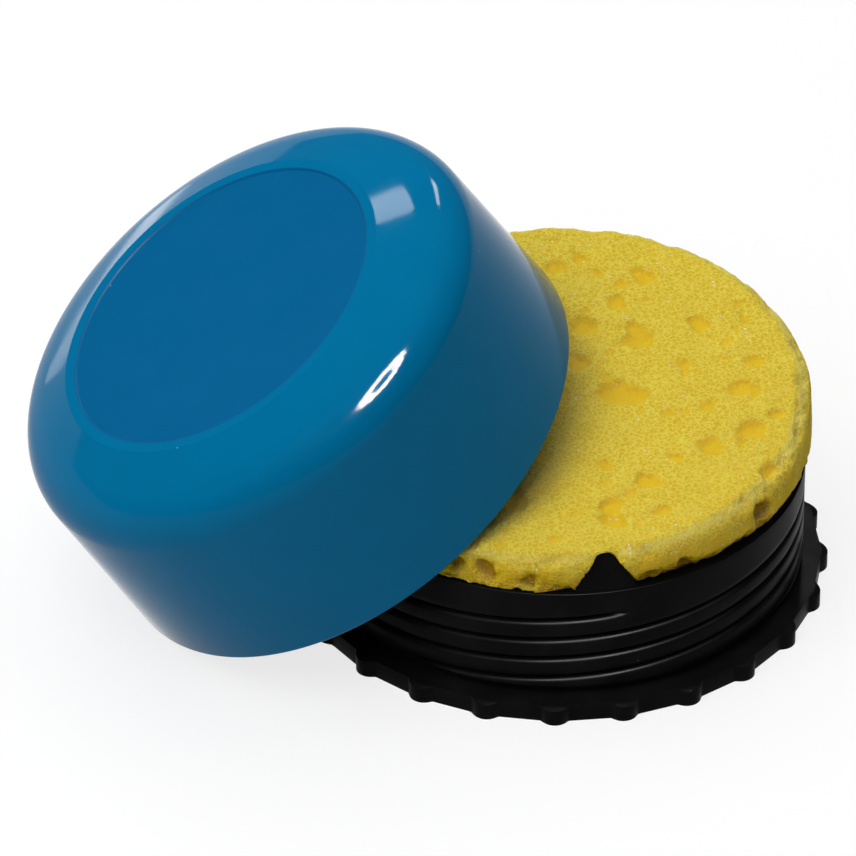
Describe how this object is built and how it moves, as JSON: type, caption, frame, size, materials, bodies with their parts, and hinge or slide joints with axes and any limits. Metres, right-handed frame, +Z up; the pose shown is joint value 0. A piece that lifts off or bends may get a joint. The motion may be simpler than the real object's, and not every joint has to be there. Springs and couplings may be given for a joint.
{
  "type": "envelope moistener",
  "caption": "Round cup with a knobbed foot flange, a screw neck and a soft sponge held by claws, with its domed screw lid leaned against it, for wetting envelopes and fingertips.",
  "frame": {"origin": "middle of the cup's foot, on the table", "axes": "+Z up along the cup's axis, -X towards the lid that leans on the cup"},
  "size_m": [0.1246, 0.0924, 0.0703],
  "materials": {
    "black_plastic": "satin",
    "yellow_foam": "matte",
    "blue_plastic": "gloss"
  },
  "bodies": {
    "base": {"base_cup": "black_plastic"},
    "sponge": {"sponge": "yellow_foam"},
    "lid": {"screw_lid": "blue_plastic"}
  },
  "joints": [
    {"name": "lid_tip", "type": "hinge", "parent": "base", "child": "lid", "pos_m": [-0.0668, 0.00836, 0], "axis": [0, -1, 0], "range_deg": [0, 55.2]},
    {"name": "sponge_press", "type": "slide", "parent": "base", "child": "sponge", "axis": [0, 0, -1], "range_m": [0, 0.005], "stiffness_N_per_m": 600, "springref_m": -0.001, "deforming": ["sponge"]}
  ]
}
